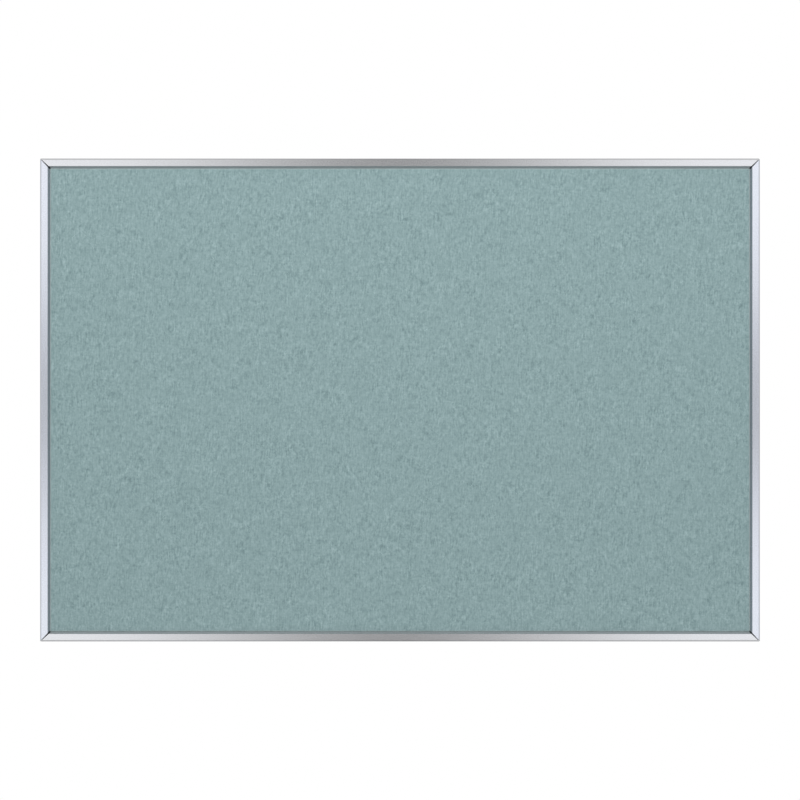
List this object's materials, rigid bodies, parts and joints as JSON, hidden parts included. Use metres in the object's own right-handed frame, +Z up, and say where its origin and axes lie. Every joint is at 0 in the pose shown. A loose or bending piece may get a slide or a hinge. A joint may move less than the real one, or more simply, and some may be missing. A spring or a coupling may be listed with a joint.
{
  "type": "notice board",
  "caption": "Wall-hung notice board: grey-teal felt over softboard in a slim mitred aluminium frame, with sliding keyhole hangers at the back.",
  "frame": {"origin": "centre of the wall plane, which touches the rear faces of the wall pads", "axes": "+X right as seen from the front, +Y back into the wall, +Z up; the felt faces -Y"},
  "size_m": [0.912, 0.027, 0.612],
  "materials": {
    "anodised_aluminium": "satin anodised, fine grain along each rail",
    "felt": "matt grey-teal needle felt with short loose fibres",
    "softboard": "raw fibreboard",
    "hardboard": "brown hardboard, screen-textured back face",
    "zinc_plated_steel": "bright zinc plate",
    "blackened_steel": "black oxide",
    "rubber": "matt dark grey rubber"
  },
  "bodies": {
    "board": {"frame_rail_top": "anodised_aluminium", "frame_rail_right": "anodised_aluminium", "frame_rail_bottom": "anodised_aluminium", "frame_rail_left": "anodised_aluminium", "felt_facing": "felt", "softboard_core": "softboard", "hardboard_back": "hardboard", "corner_plate_top_right": "zinc_plated_steel", "corner_plate_bottom_right": "zinc_plated_steel", "corner_plate_bottom_left": "zinc_plated_steel", "corner_plate_top_left": "zinc_plated_steel", "corner_backing_top_right": "zinc_plated_steel", "corner_backing_bottom_right": "zinc_plated_steel", "corner_backing_bottom_left": "zinc_plated_steel", "corner_backing_top_left": "zinc_plated_steel", "corner_screw_top_right_1": "blackened_steel", "corner_screw_top_right_2": "blackened_steel", "corner_screw_bottom_right_1": "blackened_steel", "corner_screw_bottom_right_2": "blackened_steel", "corner_screw_bottom_left_1": "blackened_steel", "corner_screw_bottom_left_2": "blackened_steel", "corner_screw_top_left_1": "blackened_steel", "corner_screw_top_left_2": "blackened_steel", "wall_pad_top_left": "rubber", "wall_pad_top_right": "rubber", "wall_pad_bottom_left": "rubber", "wall_pad_bottom_right": "rubber"},
    "hanger_left": {"hanger_plate_left": "zinc_plated_steel", "hanger_nut_left": "zinc_plated_steel", "hanger_screw_left_1": "zinc_plated_steel", "hanger_screw_left_2": "zinc_plated_steel"},
    "hanger_right": {"hanger_plate_right": "zinc_plated_steel", "hanger_nut_right": "zinc_plated_steel", "hanger_screw_right_1": "zinc_plated_steel", "hanger_screw_right_2": "zinc_plated_steel"}
  },
  "joints": [
    {"name": "hanger_left_slide", "type": "slide", "parent": "board", "child": "hanger_left", "axis": [1, 0, 0], "range_m": [-0.088, 0.281]},
    {"name": "hanger_right_slide", "type": "slide", "parent": "board", "child": "hanger_right", "axis": [1, 0, 0], "range_m": [-0.281, 0.088]}
  ]
}
